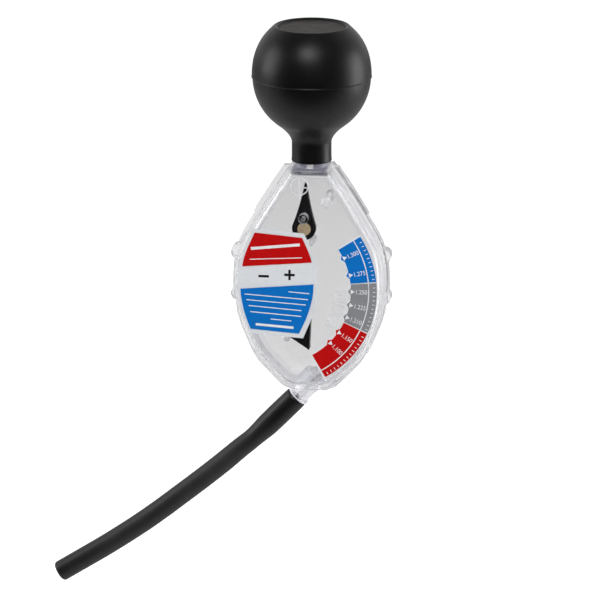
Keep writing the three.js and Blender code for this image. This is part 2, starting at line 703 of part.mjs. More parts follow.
// One coloured zone of the scale, with a pointed tooth on its inner arc at each reading.
function scaleZone(zone) {
  const end = zone.to * DEG - ZONE_GAP / 2 / SCALE_R;
  const start = zone.from * DEG + ZONE_GAP / 2 / SCALE_R;
  const steps = Math.ceil(((end - start) * SCALE_R) / ARC_STEP);
  const points = arcPoints(0, 0, SCALE_R, start, end, steps);
  const spread = TOOTH_HALF_W / SCALE_INNER_R;
  let from = end;
  for (const tooth of zone.teeth) {
    const angle = tooth * DEG;
    const run = Math.ceil(((from - angle - spread) * SCALE_INNER_R) / ARC_STEP);
    points.push(...arcPoints(0, 0, SCALE_INNER_R, from, angle + spread, run));
    points.push(...arcPoints(0, 0, TOOTH_TIP_R, angle, angle, 1).slice(1));
    from = angle - spread;
  }
  const last = Math.ceil(((from - start) * SCALE_INNER_R) / ARC_STEP);
  points.push(...arcPoints(0, 0, SCALE_INNER_R, from, start, last));
  const zoneFoil = plate(closedShape(points), HOUSE_HALF_DEPTH, HOUSE_HALF_DEPTH + FOIL_THICK);
  return zoneFoil.translate(PIVOT_X, PIVOT_Y, 0);
}

// A named sub-part.
function part(name, geometry, material) {
  const mesh = new THREE.Mesh(geometry, material);
  mesh.name = name;
  return mesh;
}

const nozzle = part('hose_nozzle', hoseNozzle(), clearPlastic);
nozzle.position.set(NOZZLE_X, -HOUSE_TOP - HOUSE_HEIGHT, 0);
nozzle.rotation.z = -NOZZLE_ANGLE;

// The float and its ballast, turned to where the float rests.
const floatGroup = new THREE.Group();
floatGroup.position.set(PIVOT_X, PIVOT_Y, 0);
floatGroup.rotation.z = FLOAT_REST_ANGLE;
floatGroup.add(
  part('float_pointer', floatPointer(), blackPlastic),
  part('float_ballast', floatBallast(), brass),
);

// The plumb pointer and its weight, hanging.
const plumbGroup = new THREE.Group();
plumbGroup.position.set(PLUMB_X, PLUMB_Y, 0);
plumbGroup.rotation.z = PLUMB_LEAN;
plumbGroup.add(
  part('level_pendulum', levelPendulum(), blackPlastic),
  part('pendulum_weight', pendulumWeight(), brass),
);

const cardEdges = {
  top: LABEL_TOP,
  topClimb: -LABEL_SKEW * 2,
  bottom: LABEL_TOP - LABEL_HEIGHT,
  bottomClimb: -LABEL_SKEW * 2,
};
const cardFace = HOUSE_HALF_DEPTH + FOIL_THICK;

const hydrometer = new THREE.Group();
hydrometer.rotation.x = Math.PI / 2;
hydrometer.add(
  part('squeeze_bulb', squeezeBulb(), rubber),
  part('bulb_crown', bulbCrown(), crownRubber),
  part('front_shell', frontShell(), clearPlastic),
  part('back_shell', backShell(), clearPlastic),
  nozzle,
  part('hose', hose(), hoseRubber),
  floatGroup,
  part('float_axle', crossPin(AXLE_R, PIVOT_X, PIVOT_Y), steel),
  plumbGroup,
  part('pendulum_pin', crossPin(PIN_R, PLUMB_X, PLUMB_Y), steel),
  part('label_card', labelFoil(cardEdges, 0, HOUSE_HALF_DEPTH), foil(FOIL_WHITE)),
  part('label_panel_red', labelFoil(RED_PANEL, PANEL_MARGIN, cardFace), foil(FOIL_RED)),
  part('label_panel_blue', labelFoil(BLUE_PANEL, PANEL_MARGIN, cardFace), foil(FOIL_BLUE)),
);
for (const zone of ZONES) {
  hydrometer.add(part(zone.name, scaleZone(zone), foil(zone.color)));
}

export default hydrometer;
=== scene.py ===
"""Battery hydrometer: a squeeze bulb on a clear dial housing with a float and a plumb pointer."""

import bmesh
import bpy
import numpy as np
from mathutils import Matrix, Vector


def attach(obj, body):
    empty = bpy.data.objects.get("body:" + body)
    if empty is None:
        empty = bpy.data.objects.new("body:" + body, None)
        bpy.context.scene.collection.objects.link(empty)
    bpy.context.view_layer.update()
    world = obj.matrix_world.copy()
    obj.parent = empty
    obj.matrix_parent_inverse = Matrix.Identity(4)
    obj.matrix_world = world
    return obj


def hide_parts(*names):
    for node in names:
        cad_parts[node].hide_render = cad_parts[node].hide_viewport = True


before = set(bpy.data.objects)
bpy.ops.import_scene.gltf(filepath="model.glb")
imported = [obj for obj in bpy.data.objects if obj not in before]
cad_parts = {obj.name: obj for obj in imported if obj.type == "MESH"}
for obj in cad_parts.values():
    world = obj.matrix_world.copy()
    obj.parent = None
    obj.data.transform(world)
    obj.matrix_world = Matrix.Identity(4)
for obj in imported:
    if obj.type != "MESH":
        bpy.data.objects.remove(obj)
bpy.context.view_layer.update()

# Camera. The dial is seen from a little to its right and from above, through a long lens, and the
# bulb's centre falls on a fixed point of the picture.
VIEW_TURN = np.radians(8.0)
VIEW_FALL = np.radians(15.3)
VIEW_DISTANCE = 2.5
SCALE_DEPTH = 0.027
METRES_PER_PIXEL = 0.00045
PICTURE_PIXELS = 600
BULB_PIXEL = (311.7, 75.5)
SENSOR_MM = 36.0
FARTHEST = 30.0

forward = np.array([
    -np.sin(VIEW_TURN) * np.cos(VIEW_FALL),
    np.cos(VIEW_TURN) * np.cos(VIEW_FALL),
    -np.sin(VIEW_FALL),
])
right = np.array([np.cos(VIEW_TURN), np.sin(VIEW_TURN), 0.0])
up = np.cross(right, forward)
pixel_slope = METRES_PER_PIXEL / VIEW_DISTANCE
to_bulb = (
    forward
    + right * (BULB_PIXEL[0] - PICTURE_PIXELS / 2) * pixel_slope
    + up * (PICTURE_PIXELS / 2 - BULB_PIXEL[1]) * pixel_slope
)
camera_place = -to_bulb * (VIEW_DISTANCE - SCALE_DEPTH)
camera = bpy.data.objects.new("camera", bpy.data.cameras.new("camera"))
bpy.context.scene.collection.objects.link(camera)
camera.data.sensor_width = SENSOR_MM
camera.data.lens = SENSOR_MM / (PICTURE_PIXELS * pixel_slope)
camera.data.clip_end = FARTHEST
turn = np.stack([right, up, -forward], axis=1)
camera.matrix_world = Matrix.Translation(Vector(camera_place)) @ Matrix(turn.tolist()).to_4x4()
bpy.context.scene.camera = camera


# Hose. Black rubber tube pushed over the nozzle's barbs, where it is stretched wider, and then
# hanging in the curve that it has kept from being coiled. Its middle is paler and mottled and its
# ends darker, which is painted shade, and it ends in a plain cut that shows the bore. The route is
# (x, z) in the plane y = 0.
MM = 0.001
HOSE_BORE_R = 0.0031
HOSE_LIP = 0.0004
HOSE_ROUTE = MM * np.array([
    (-6.61, -148.99),
    (-9.7, -152.18),
    (-14.04, -156.66),
    (-18.38, -161.14),
    (-22.3, -165.1),
    (-27.3, -169.9),
    (-32.6, -174.4),
    (-40.9, -181.8),
    (-49.9, -189.4),
    (-58.9, -196.7),
    (-67.8, -203.9),
    (-76.9, -210.9),
    (-86.3, -217.6),
    (-95.9, -224.1),
    (-105.6, -230.3),
    (-116.45, -237.2),
])
# Distance from the collar and radius there, in metres: stretched on the barbs, drawn in after them.
HOSE_RADII = np.array([
    (0.0, 0.00515),
    (0.003, 0.0053),
    (0.012, 0.00532),
    (0.020, 0.00525),
    (0.0245, 0.00480),
    (0.028, 0.00455),
    (0.034, 0.00462),
    (0.046, 0.00478),
    (0.090, 0.00482),
    (0.150, 0.00480),
])
HOSE_RINGS = 220
HOSE_SIDES = 64
STRETCH_STEPS = 24
TABLE_STEPS = 400
ROUNDING_STEPS = 7
SAME_PLACE = 1e-7
SHARP_ANGLE = 40.0
PALE_MIDDLE_BEGINS_X = (-0.125, -0.085)
PALE_MIDDLE_ENDS_X = (-0.042, -0.012)


def smooth_path(points, steps):
    """A Catmull-Rom curve through the points, as evenly spaced points, and their distances along
    it: each stretch is a cubic whose slope at a point is half the chord between its neighbours."""
    first = 2 * points[0] - points[1]
    last = 2 * points[-1] - points[-2]
    padded = np.vstack([first, points, last])
    share = np.linspace(0, 1, STRETCH_STEPS, endpoint=False)[:, None]
    runs = []
    for i in range(len(points) - 1):
        a, b, c, d = padded[i:i + 4]
        runs.append(
            b
            + share * (c - a) / 2
            + share ** 2 * (2 * a - 5 * b + 4 * c - d) / 2
            + share ** 3 * (3 * b - a - 3 * c + d) / 2
        )
    dense = np.vstack([*runs, points[-1:]])
    travel = np.concatenate([[0], np.cumsum(np.linalg.norm(np.diff(dense, axis=0), axis=1))])
    even = np.linspace(0, travel[-1], steps)
    return np.stack([np.interp(even, travel, part) for part in dense.T], axis=1), even


def eased(x, table):
    """Values of a table at x: straight lines between its rows, averaged over a short bell-shaped
    window, so that their corners are rounded off."""
    fine = np.linspace(table[0, 0], table[-1, 0], TABLE_STEPS)
    values = np.interp(fine, table[:, 0], table[:, 1])
    window = np.hanning(2 * ROUNDING_STEPS + 1)
    padded = np.pad(values, ROUNDING_STEPS, mode="edge")
    return np.interp(x, fine, np.convolve(padded, window / window.sum(), mode="valid"))


def grid_surface(name, points, wrap_rows=False, wrap_columns=False):
    """A mesh of four-sided faces on a grid of points, rows by columns by three. A wrapped direction
    joins its last line to its first. Doubles, as at a pole, are merged, and faces look outwards."""
    rows, columns = points.shape[:2]
    index = np.arange(rows * columns).reshape(rows, columns)
    if wrap_rows:
        index = np.vstack([index, index[:1]])
    if wrap_columns:
        index = np.hstack([index, index[:, :1]])
    quads = np.stack([index[:-1, :-1], index[:-1, 1:], index[1:, 1:], index[1:, :-1]], axis=-1)
    mesh = bpy.data.meshes.new(name)
    mesh.from_pydata(points.reshape(-1, 3).tolist(), [], quads.reshape(-1, 4).tolist())
    return finish_mesh(name, mesh)


def finish_mesh(name, mesh):
    """An object for a mesh whose doubles are merged and whose faces are turned outwards."""
    work = bmesh.new()
    work.from_mesh(mesh)
    bmesh.ops.remove_doubles(work, verts=work.verts, dist=SAME_PLACE)
    bmesh.ops.recalc_face_normals(work, faces=work.faces)
    if work.calc_volume(signed=True) < 0:
        bmesh.ops.reverse_faces(work, faces=work.faces)
    work.to_mesh(mesh)
    work.free()
    return smooth_object(name, mesh, SHARP_ANGLE)


def smooth_object(name, mesh, sharp_angle):
    """An object at the origin for a mesh, shaded smooth up to an angle in degrees."""
    mesh.shade_smooth()
    mesh.set_sharp_from_angle(angle=np.radians(sharp_angle))
    made = bpy.data.objects.new(name, mesh)
    bpy.context.scene.collection.objects.link(made)
    return made


def tube_grid(path, radii, sides):
    """Rings round a path in the plane y = 0: each is the path's point, plus radius times cos t of
    the path's own normal in that plane and radius times sin t of -Y."""
    along = np.gradient(path, axis=0)
    along /= np.linalg.norm(along, axis=1)[:, None]
    normal = np.stack([-along[:, 1], along[:, 0]], axis=1)
    turns = np.linspace(0, 2 * np.pi, sides, endpoint=False)
    reach = radii[:, None] * np.cos(turns)[None, :]
    depth = -radii[:, None] * np.sin(turns)[None, :]
    flat = path[:, None, :] + reach[..., None] * normal[:, None, :]
    return np.stack([flat[..., 0], depth, flat[..., 1]], axis=-1)


class Shade:
    """A shader output. Arithmetic on it adds Math nodes."""

    def __init__(self, nodes, socket):
        self.nodes = nodes
        self.socket = socket

    def _math(self, operation, *values):
        return self.nodes.node("ShaderNodeMath", {"operation": operation}, values)

    def __add__(self, other):
        return self._math("ADD", self, other)

    def __sub__(self, other):
        return self._math("SUBTRACT", self, other)

    def __rsub__(self, other):
        return self._math("SUBTRACT", other, self)

    def __mul__(self, other):
        return self._math("MULTIPLY", self, other)

    def __abs__(self):
        return self._math("ABSOLUTE", self)

    def __or__(self, other):
        return self._math("MAXIMUM", self, other)

    __radd__ = __add__
    __rmul__ = __mul__

    def between(self, low, high):
        """0 below low, 1 above high, and smooth between them."""
        return self.nodes.node(
            "ShaderNodeMapRange",
            {"interpolation_type": "SMOOTHSTEP"},
            {"Value": self, "From Min": low, "From Max": high},
        )


class Nodes:
    """A node tree. Every node but the ones that it starts with comes from its node method."""

    def __init__(self, tree):
        self.tree = tree

    def feed(self, socket, value):
        if isinstance(value, Shade):
            self.tree.links.new(value.socket, socket)
        elif hasattr(socket.default_value, "__len__") and len(value) == 3:
            socket.default_value = (*value, 1.0)[:len(socket.default_value)]
        else:
            socket.default_value = value

    def node(self, kind, settings=None, inputs=(), output=0):
        """Adds a node: its settings first, then the value or link of each socket that is named
        or numbered in inputs."""
        made = self.tree.nodes.new(kind)
        for key, value in (settings or {}).items():
            setattr(made, key, value)
        for key, value in (inputs.items() if isinstance(inputs, dict) else enumerate(inputs)):
            self.feed(made.inputs[key], value)
        return Shade(self, made.outputs[output])

    def axis(self, vector, letter):
        return self.node("ShaderNodeSeparateXYZ", {}, (vector,), output=letter)

    def ray(self, kind):
        return self.node("ShaderNodeLightPath", output=f"Is {kind} Ray")


class Finish(Nodes):
    """A node material round a Principled surface."""

    def __init__(self, name, **values):
        self.material = bpy.data.materials.new(name)
        self.material.use_nodes = True
        super().__init__(self.material.node_tree)
        self.principled = self.tree.nodes["Principled BSDF"]
        self.surface = Shade(self, self.principled.outputs[0])
        self.place = self.node("ShaderNodeTexCoord", output="Object")
        self.set(**values)

    def set(self, **values):
        """Feeds the surface's own sockets: base_color goes to Base Color, and so on."""
        short = {"ior": "IOR", "specular": "Specular IOR Level"}
        for key, value in values.items():
            self.feed(self.principled.inputs[short.get(key, key.replace("_", " ").title())], value)

    def show(self, shader):
        """Makes another shader the one that the material shows."""
        self.feed(self.tree.nodes["Material Output"].inputs["Surface"], shader)

    def noise(self, scale, detail=3.0, roughness=0.5, place=None):
        return self.node("ShaderNodeTexNoise", {}, {
            "Vector": place or self.place, "Scale": scale, "Detail": detail, "Roughness": roughness,
        })

    def stretched(self, *scale):
        """The piece's own coordinates, scaled along each axis."""
        return self.node("ShaderNodeMapping", {}, {"Vector": self.place, "Scale": Vector(scale)})

    def mix(self, factor, first, second):
        """A colour between two colours."""
        sockets = {0: factor, 6: first, 7: second}
        return self.node("ShaderNodeMix", {"data_type": "RGBA"}, sockets, output=2)

    def blend(self, factor, first, second):
        """A shader between two shaders."""
        return self.node("ShaderNodeMixShader", {}, (factor, first, second))

    def clear(self, color):
        return self.node("ShaderNodeBsdfTransparent", {}, (color,))

    def bump(self, height, strength, distance):
        return self.node("ShaderNodeBump", {}, {
            "Height": height, "Strength": strength, "Distance": distance,
        })

    def give(self, piece):
        piece.data.materials.clear()
        piece.data.materials.append(self.material)


def rounded_end(distance):
    """The share of its radius that a tube has near a cut end with a rounded lip, a quarter circle
    over the lip's length: sqrt(1 - (1 - distance / lip) ** 2)."""
    return np.sqrt(np.clip(1 - (1 - np.clip(distance / HOSE_LIP, 0, 1)) ** 2, 0, 1))


hose_path, hose_along = smooth_path(HOSE_ROUTE, HOSE_RINGS)
lips = 2 - rounded_end(hose_along) - rounded_end(hose_along[-1] - hose_along)
outside = tube_grid(hose_path, eased(hose_along, HOSE_RADII) - HOSE_LIP * lips, HOSE_SIDES)
inside = tube_grid(hose_path, np.full(HOSE_RINGS, HOSE_BORE_R), HOSE_SIDES)[::-1]
hose = grid_surface(
    "drip_hose", np.concatenate([outside, inside]), wrap_rows=True, wrap_columns=True
)
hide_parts("hose")
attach(hose, "housing")

hose_rubber = Finish("hose_rubber", specular=0.4)
cloudy = hose_rubber.noise(70.0, 2.0)
hose_x = hose_rubber.axis(hose_rubber.place, "X")
# Painted shade: the hose is paler and mottled along its middle and darker towards both ends.
pale_middle = hose_x.between(*PALE_MIDDLE_BEGINS_X) * (1 - hose_x.between(*PALE_MIDDLE_ENDS_X))
pale_middle_mottle = pale_middle * (cloudy.between(0.3, 0.75) * 0.45 + 0.55)
hose_rubber.set(
    base_color=hose_rubber.mix(pale_middle_mottle, (0.0022, 0.0022, 0.0023), (0.0195, 0.019, 0.019)),
    roughness=cloudy * 0.18 + pale_middle * 0.1 + 0.32,
    normal=hose_rubber.bump(hose_rubber.noise(900.0, 4.0), 0.12, 0.0002),
)
hose_rubber.give(hose)


# Squeeze bulb. One thin ball of black rubber with a mould line round its middle, a soft rolled rim
# round the sunken crown, and a neck that is stretched over the housing's spigot.
BULB_R = 0.02675
BULB_RISE = 0.0276
BULB_FALL = 0.027
BULB_WALL = 0.002
DOME_FULLNESS = 2.2
BOWL_FULLNESS = 2.0
SEAM_DROP = -0.0004
SEAM_STEP = 0.0003
SEAM_RIDGE = 0.00022
SEAM_RIDGE_WIDTH = 0.00028
SEAM_END = -0.00065
BELOW_SEAM = 1.1
OPENING_R = 0.01515
LIP_HEIGHT = 0.02215
CREST_R = 0.0165
CREST_HEIGHT = 0.02285
SHOULDER_R = 0.0192
NECK_R = 0.0089
NECK_END = -0.0388
NECK_TOP = -0.0304
NECK_ROOT_R = 0.0153
NECK_FLARE = 0.00015
NECK_ROUND = 0.0005
NECK_BORE_R = 0.00775
NECK_FLARE_POWER = 6
LIP_RISE_DEGREES = 40
SEAM_STEEPNESS = 6
BULB_SIDES = 192


def arc(centre, radius, start, end, steps):
    """Points (r, z) on a circle from one angle to another, in degrees: centre plus radius times
    (cos t, sin t)."""
    angle = np.radians(np.linspace(start, end, steps))
    return np.array(centre) + radius * np.stack([np.cos(angle), np.sin(angle)], axis=1)


def ball_curve(half_width, rise, fullness, start, end, steps):
    """Points (r, z) on a quarter of the ball's outline from one half width to another, where
    (r / half_width) ** fullness + (z / rise) ** fullness = 1."""
    first, last = np.arccos((np.array([start, end]) / half_width) ** (fullness / 2))
    turn = np.linspace(first, last, steps)
    share = 2 / fullness
    height = rise * np.clip(np.sin(turn), 0, 1) ** share
    return np.stack([half_width * np.cos(turn) ** share, height], axis=1)


def heading(points, i):
    """The angle, in degrees, at which a run of points goes from one point to the next."""
    return np.degrees(np.arctan2(*(points[i + 1] - points[i])[::-1]))


def curve_between(start, leaving, end, arriving, steps):
    """A quadratic curve that leaves one point at an angle and arrives at another at an angle: its
    middle control point is where the two straight lines cross."""
    start, end = np.array(start, float), np.array(end, float)
    leave = np.array([np.cos(np.radians(leaving)), np.sin(np.radians(leaving))])
    arrive = np.array([np.cos(np.radians(arriving)), np.sin(np.radians(arriving))])
    across = end - start
    reach = across[0] * arrive[1] - across[1] * arrive[0]
    middle = start + leave * reach / (leave[0] * arrive[1] - leave[1] * arrive[0])
    t = np.linspace(0, 1, steps)[:, None]
    return (1 - t) ** 2 * start + 2 * t * (1 - t) * middle + t ** 2 * end


def revolved(name, profile, sides, closed=True):
    """A profile of (r, z) points carried round the Z axis: x = r cos t, y = r sin t."""
    angle = np.linspace(0, 2 * np.pi, sides, endpoint=False)
    points = np.stack([
        profile[:, None, 0] * np.cos(angle),
        profile[:, None, 0] * np.sin(angle),
        np.repeat(profile[:, None, 1], sides, axis=1),
    ], axis=-1)
    return grid_surface(name, points, wrap_rows=closed, wrap_columns=True)


inner_r = BULB_R - BULB_WALL
lower_r = BULB_R - SEAM_STEP
lip_curve = curve_between(
    (OPENING_R, LIP_HEIGHT), LIP_RISE_DEGREES, (CREST_R, CREST_HEIGHT), 0, 8
)
upper = ball_curve(BULB_R, BULB_RISE, DOME_FULLNESS, SHOULDER_R, BULB_R, 50)
shoulder = curve_between(lip_curve[-1], 0, upper[0], heading(upper, 0), 12)
seam_z = np.linspace(0, SEAM_END, 16)[1:]
seam_share = (seam_z - SEAM_DROP) / SEAM_RIDGE_WIDTH
seam_r = (
    BULB_R * np.sqrt(1 - (seam_z / BULB_FALL) ** 2)
    - SEAM_STEP / (1 + np.exp(SEAM_STEEPNESS * seam_share))
    + SEAM_RIDGE * np.exp(-seam_share ** 2)
)
lower_start = lower_r * np.sqrt(1 - (SEAM_END * BELOW_SEAM / BULB_FALL) ** 2)
lower = ball_curve(lower_r, -BULB_FALL, BOWL_FULLNESS, lower_start, NECK_ROOT_R, 60)
neck_fillet = curve_between(lower[-1], heading(lower, -2), (NECK_R, NECK_TOP), -90, 16)
neck_z = np.linspace(NECK_TOP, NECK_END + 3 * NECK_ROUND, 10)[1:]
neck_r = NECK_R + NECK_FLARE * (
    (NECK_TOP - neck_z) / (NECK_TOP - NECK_END)
) ** NECK_FLARE_POWER
neck_foot = arc((NECK_R + NECK_FLARE - NECK_ROUND, NECK_END + NECK_ROUND), NECK_ROUND, 0, -90, 8)
inner_bowl = ball_curve(
    inner_r, BULB_WALL - BULB_FALL, BOWL_FULLNESS, NECK_ROOT_R - BULB_WALL, inner_r, 30
)
inner_dome = ball_curve(inner_r, BULB_RISE - BULB_WALL, DOME_FULLNESS, inner_r, OPENING_R, 30)
inner_fillet = curve_between((NECK_BORE_R, NECK_TOP), 90, inner_bowl[0], heading(inner_bowl, 0), 8)
bulb_profile = np.vstack([
    lip_curve, shoulder[1:], upper[1:], np.stack([seam_r, seam_z], axis=1), lower, neck_fillet[1:],
    np.stack([neck_r, neck_z], axis=1), neck_foot, [(NECK_BORE_R, NECK_END)], inner_fillet,
    inner_bowl[1:], inner_dome[1:],
])
bulb = revolved("rubber_bulb", bulb_profile, BULB_SIDES)
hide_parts("squeeze_bulb")
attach(bulb, "housing")

bulb_rubber = Finish("bulb_rubber", specular=0.3)
grain = bulb_rubber.noise(1400.0, 3.0)
bloom = bulb_rubber.noise(55.0, 3.0, 0.6)
specks = bulb_rubber.noise(650.0, 2.0).between(0.68, 0.76)
plain = bulb_rubber.mix(
    bloom.between(0.35, 0.7), (0.0016, 0.0016, 0.0016), (0.0030, 0.0029, 0.0029)
)
bulb_rubber.set(
    base_color=bulb_rubber.mix(specks * 0.5, plain, (0.014, 0.013, 0.013)),
    roughness=bloom * 0.14 + 0.32,
    normal=bulb_rubber.bump(grain, 0.14, 0.0002),
)
bulb_rubber.give(bulb)


# Crown. The flat top of the bulb where the thumb presses, slightly dished, with the dry grey bloom
# that black rubber gets where it isn't handled, darkened near its edge by painted shade.
CROWN_R = 0.0151
CROWN_THICK = 0.002
CROWN_EDGE_HEIGHT = 0.0221
CROWN_DISH = 0.0006
CROWN_FLATNESS = 10
CROWN_EDGE_SHADE_R = (0.0137, 0.0150)
CROWN_ROUND = 0.00012
RING_CROWDING = 0.6

# The height falls from the edge by CROWN_DISH * (1 - (r / edge) ** CROWN_FLATNESS), on rings that
# are closer together near the edge.
crown_r = (CROWN_R - CROWN_ROUND) * np.linspace(0, 1, 40) ** RING_CROWDING
crown_face = np.stack([
    crown_r, CROWN_EDGE_HEIGHT - CROWN_DISH * (1 - (crown_r / crown_r[-1]) ** CROWN_FLATNESS),
], axis=1)
crown_edge = arc((CROWN_R - CROWN_ROUND, CROWN_EDGE_HEIGHT - CROWN_ROUND), CROWN_ROUND, 90, 0, 5)
crown_bottom = CROWN_EDGE_HEIGHT - CROWN_THICK
crown_profile = np.vstack([
    crown_face[:-1], crown_edge, [(CROWN_R, crown_bottom), (0, crown_bottom)]
])
crown = revolved("bulb_top", crown_profile, BULB_SIDES, closed=False)
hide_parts("bulb_crown")
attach(crown, "crown")

crown_rubber = Finish("crown_rubber", specular=0.3)
patches = crown_rubber.noise(220.0, 4.0, 0.65)
fine = crown_rubber.noise(1500.0, 2.0)
level = crown_rubber.stretched(1.0, 1.0, 0.0)
from_middle = crown_rubber.node(
    "ShaderNodeVectorMath", {"operation": "LENGTH"}, (level,), output="Value"
)
dusty = crown_rubber.mix(
    patches.between(0.3, 0.7), (0.018, 0.0152, 0.0138), (0.052, 0.0445, 0.0405)
)
# Painted shade: towards its edge the crown fades to the rubber's black, for the shade of the rim.
crown_rubber.set(
    base_color=crown_rubber.mix(from_middle.between(*CROWN_EDGE_SHADE_R), dusty, (0.006, 0.006, 0.006)),
    roughness=patches * 0.2 + 0.55,
    normal=crown_rubber.bump(fine, 0.2, 0.0002),
)
crown_rubber.give(crown)


# Housing. Two shells moulded in clear plastic and welded into one body along a thin flange with
# grip lugs, and a nozzle glued into its slanted socket. The flats are clear, the walls faintly
# rippled and hazy, the sight ring and the comb frosted, and the roof under the neck darkened by a
# painted reflection of the black neck.
CLEAR_IOR = 1.47
CLEAR_GLOSS = 0.25
PARTING = 2e-6
FLAT_TURN = 0.5
FLAT_WEIGHT = 100
MOULDED_SHARP_ANGLE = 28.0
RIPPLE_SCALE = (110.0, 110.0, 42.0)
FLATNESS = (0.93, 0.995)
WALL_ROUGHNESS = 0.38
WALL_HAZE = 0.10
RAISED_HAZE = 0.85
RAISED_FLATNESS = (0.9, 0.98)
NECK_REFLECTION_Z = (-0.0440, -0.0434)
NECK_REFLECTION_HALF_WIDTH = (0.0070, 0.0086)
LIGHT_BOUNCES = 32
SIGHT_DEPTHS = (0.0098, 0.00985)
COMB_DEPTHS = (0.0073, 0.0074, 0.0075, 0.0076)


def moulded(name, *nodes):
    """The CAD nodes' own form as one mesh: shells that meet on the parting plane y = 0 are joined
    there, facets in one plane are made whole, and a flat face is shaded flat up to its edges."""
    work = bmesh.new()
    for node in nodes:
        work.from_mesh(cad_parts[node].data)
    bmesh.ops.remove_doubles(work, verts=work.verts, dist=PARTING)
    if len(nodes) > 1:
        weld = [
            face for face in work.faces if all(abs(corner.co.y) < PARTING for corner in face.verts)
        ]
        bmesh.ops.delete(work, geom=weld, context="FACES")
    bmesh.ops.dissolve_limit(
        work, angle_limit=np.radians(FLAT_TURN), verts=work.verts, edges=work.edges,
        delimit={"NORMAL"},
    )
    mesh = bpy.data.meshes.new(name)
    work.to_mesh(mesh)
    work.free()
    made = smooth_object(name, mesh, MOULDED_SHARP_ANGLE)
    flat = made.modifiers.new("flat_faces", "WEIGHTED_NORMAL")
    flat.keep_sharp = True
    flat.weight = FLAT_WEIGHT
    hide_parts(*nodes)
    return made


housing = moulded("clear_housing", "front_shell", "back_shell")
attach(housing, "housing")
nozzle = moulded("clear_nozzle", "hose_nozzle")
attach(nozzle, "housing")

clear_plastic = Finish(
    "clear_plastic", ior=CLEAR_IOR, specular=CLEAR_GLOSS, transmission_weight=1.0
)
outwards = clear_plastic.node("ShaderNodeNewGeometry", output="Normal")
facing = abs(clear_plastic.axis(outwards, "Y"))
depth = abs(clear_plastic.axis(clear_plastic.place, "Y"))
walls = 1 - facing.between(*FLATNESS)
on_comb = depth.between(*COMB_DEPTHS[:2]) * (1 - depth.between(*COMB_DEPTHS[2:]))
raised = facing.between(*RAISED_FLATNESS) * (depth.between(*SIGHT_DEPTHS) | on_comb)
ripple = clear_plastic.noise(1.0, 2.0, place=clear_plastic.stretched(*RIPPLE_SCALE))
height = clear_plastic.axis(clear_plastic.place, "Z")
off_centre = abs(clear_plastic.axis(clear_plastic.place, "X"))
# Painted reflection: the roof's walls just under the neck are tinted dark for the black neck
# mirrored in them.
painted_neck_reflection = height.between(*NECK_REFLECTION_Z) * (1 - off_centre.between(*NECK_REFLECTION_HALF_WIDTH)) * walls
tint = clear_plastic.mix(walls | raised, (0.84, 0.84, 0.845), (0.80, 0.80, 0.825))
clear_plastic.set(
    base_color=clear_plastic.mix(painted_neck_reflection, tint, (0.18, 0.18, 0.25)),
    roughness=walls * WALL_ROUGHNESS,
    normal=clear_plastic.bump(ripple * walls, 0.3, 0.001),
)
frosted = clear_plastic.node("ShaderNodeBsdfDiffuse", {}, ((0.74, 0.74, 0.765),))
clear_plastic.show(clear_plastic.blend(
    clear_plastic.ray("Shadow"),
    clear_plastic.blend(raised * RAISED_HAZE | walls * WALL_HAZE, clear_plastic.surface, frosted),
    clear_plastic.clear((0.96, 0.96, 0.97)),
))
clear_plastic.give(housing)
clear_plastic.give(nozzle)
bpy.context.scene.cycles.max_bounces = LIGHT_BOUNCES
bpy.context.scene.cycles.transmission_bounces = LIGHT_BOUNCES
bpy.context.scene.cycles.transparent_max_bounces = LIGHT_BOUNCES


# Float. A black moulding with a beak, on a steel axle, with a brass slug pressed into it.
black_plastic = Finish("black_plastic", specular=0.1)
flow = black_plastic.noise(120.0, 3.0)
black_plastic.set(
    base_color=black_plastic.mix(
        flow.between(0.3, 0.7), (0.0035, 0.0035, 0.004), (0.006, 0.006, 0.0065)
    ),
    roughness=flow * 0.15 + 0.32,
    normal=black_plastic.bump(black_plastic.noise(1500.0, 2.0), 0.05, 0.0002),
)
beak = moulded("float_body", "float_pointer")
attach(beak, "float")
black_plastic.give(beak)

brass = Finish("brass", metallic=0.55)
tarnish = brass.noise(500.0, 3.0)
brass.set(
    base_color=brass.mix(tarnish.between(0.3, 0.7), (0.78, 0.61, 0.39), (0.60, 0.46, 0.29)),
    roughness=tarnish * 0.3 + 0.35,
    normal=brass.bump(tarnish, 0.1, 0.0002),
)
brass.give(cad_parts["float_ballast"])

steel = Finish("steel", metallic=1.0)
scratch = steel.noise(900.0, 2.0)
steel.set(base_color=(0.55, 0.55, 0.56), roughness=scratch * 0.2 + 0.2)
steel.give(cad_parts["float_axle"])


# Plumb pointer. A black moulding that hangs on a steel pin, with a brass weight in its round end
# and a white line painted across it just under its tip.
PAINT_Z = -0.0506
PAINT_HALF_WIDTH = 0.00095
PAINT_HEIGHT = 0.00056
PLUMB_X = -0.0022
PLUMB_FACE = -0.0035
INK = 0.00003


def prism(outline, face, thick=INK):
    """A thin plate on a face that looks towards -Y: the outline's (x, z) points in front at
    y = face - thick, then behind at y = face."""
    count = len(outline)
    points = np.insert(np.tile(outline, (2, 1)), 1, np.repeat([face - thick, face], count), axis=1)
    ring = np.arange(count)
    after = np.roll(ring, -1)
    sides = np.stack([ring, after, after + count, ring + count], axis=1)
    return points, [ring.tolist(), (ring + count).tolist(), *sides.tolist()]


def rule(start, end, thick):
    """The outline of a straight bar from one point to another: each point plus and minus half the
    thickness across the line."""
    start, end = np.array(start, float), np.array(end, float)
    along = (end - start) / np.linalg.norm(end - start)
    across = np.array([-along[1], along[0]]) * thick / 2
    return np.stack([start - across, end - across, end + across, start + across])


